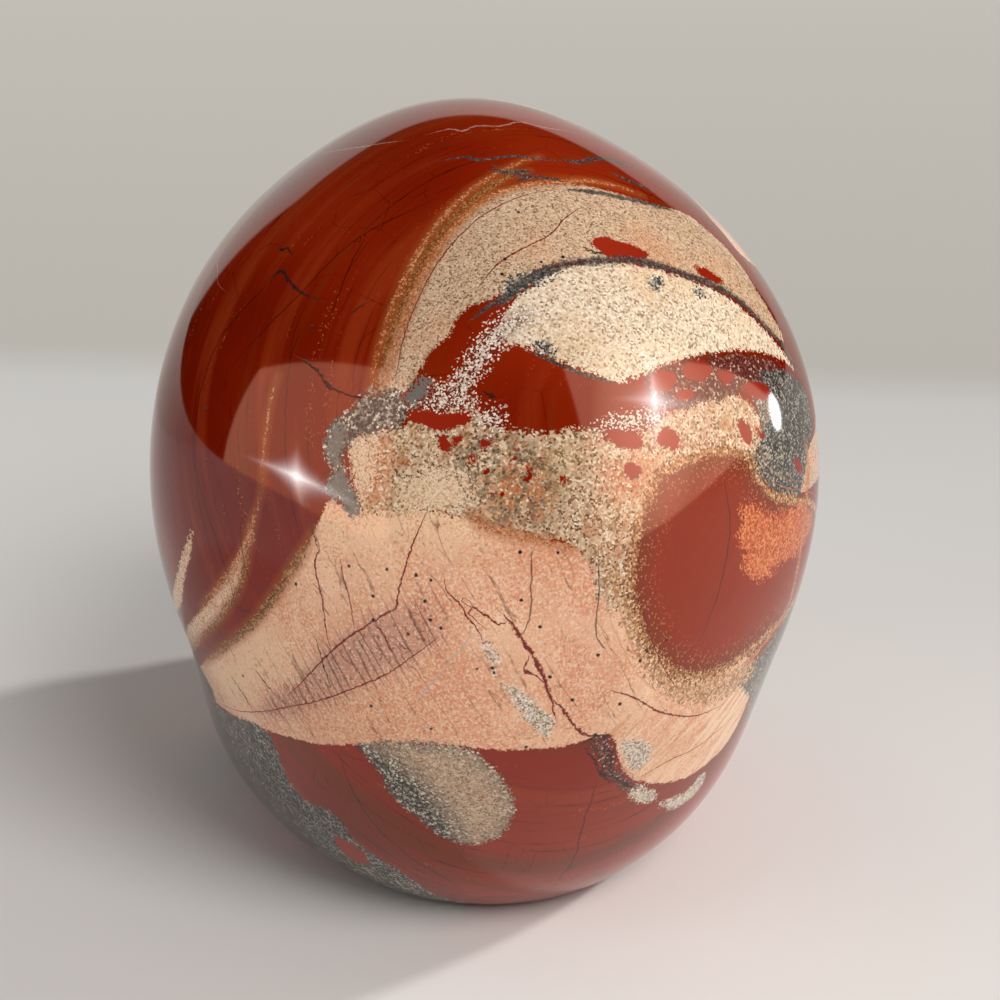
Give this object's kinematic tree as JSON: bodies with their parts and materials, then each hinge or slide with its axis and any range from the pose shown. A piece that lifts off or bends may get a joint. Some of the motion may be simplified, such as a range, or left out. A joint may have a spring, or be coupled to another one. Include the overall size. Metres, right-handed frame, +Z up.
{
  "type": "carved skull",
  "caption": "Small human skull carved from one lump of banded red jasper, polished all over, with a flat ground base to stand on.",
  "frame": {"origin": "on the flat base, below the middle of the head", "axes": "+Z up through the crown, -Y the way the face looks, +Y the back of the head"},
  "size_m": [0.086, 0.1203, 0.098],
  "materials": {
    "red_jasper": "high polish; dark red stone with sand-coloured, cream, pink and grey patches and fine dark veins"
  },
  "bodies": {
    "root": {"skull": "red_jasper"}
  },
  "joints": []
}
